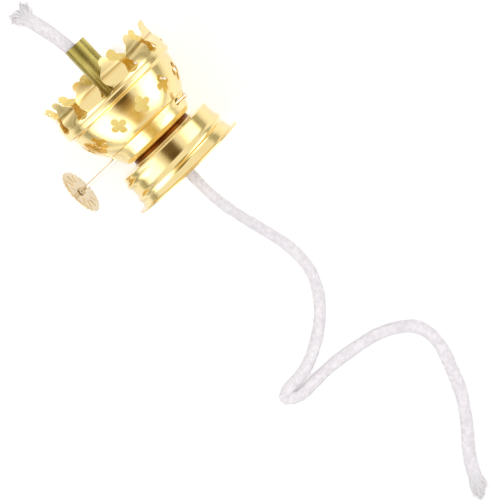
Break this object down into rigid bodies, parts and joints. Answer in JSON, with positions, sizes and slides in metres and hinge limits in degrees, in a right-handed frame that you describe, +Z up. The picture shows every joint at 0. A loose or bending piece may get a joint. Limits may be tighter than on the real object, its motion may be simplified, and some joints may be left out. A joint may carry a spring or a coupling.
{
  "type": "oil lamp burner",
  "caption": "Brass oil lamp burner lying on its side: pronged chimney basket, screw cap, round wick tube, thumb wheel that feeds the wick, and a loose cotton wick.",
  "frame": {"origin": "on the surface the burner lies on, under the middle of the box round the burner, its thumb wheel and the wick's stub, without the wick's loose tail", "axes": "+X along the burner's axis towards the crown and the flame, -X the way the cap's mouth faces, +Y towards the thumb wheel, +Z up"},
  "size_m": [0.1712, 0.0422, 0.0339],
  "materials": {
    "lacquered_brass": "bright lacquered sheet brass, pale gold",
    "drawn_brass": "drawn raw brass, slightly olive, fine lengthwise lines",
    "bright_brass": "mirror bright pale brass",
    "wick_cotton": "braided white cotton, frayed at both ends"
  },
  "bodies": {
    "burner": {"crown_basket": "lacquered_brass", "air_plate": "drawn_brass", "base_cup": "lacquered_brass", "neck_ring": "lacquered_brass", "deck_plate": "drawn_brass", "screw_cap": "lacquered_brass", "wick_tube": "drawn_brass", "spur_bracket": "drawn_brass"},
    "raiser": {"raiser_shaft": "bright_brass", "spur_wheel": "drawn_brass", "thumb_wheel": "bright_brass", "wheel_collar": "bright_brass"},
    "wick": {"wick_core": "wick_cotton", "wick_tuft_top": "wick_cotton", "wick_tail": "wick_cotton", "wick_tuft_tail": "wick_cotton"}
  },
  "joints": [
    {"name": "raiser_turn", "type": "hinge", "parent": "burner", "child": "raiser", "pos_m": [-0.01451, -0.00326, 0.02107], "axis": [0, -0.9799, 0.1994], "range_deg": [-101, 271]},
    {"name": "wick_feed", "type": "slide", "parent": "burner", "child": "wick", "axis": [1, 0, 0], "range_m": [-0.0042, 0.0113]}
  ],
  "couplings": [
    {"joint": "raiser_turn", "follows": "wick_feed", "rad_per_m": 416.67}
  ]
}
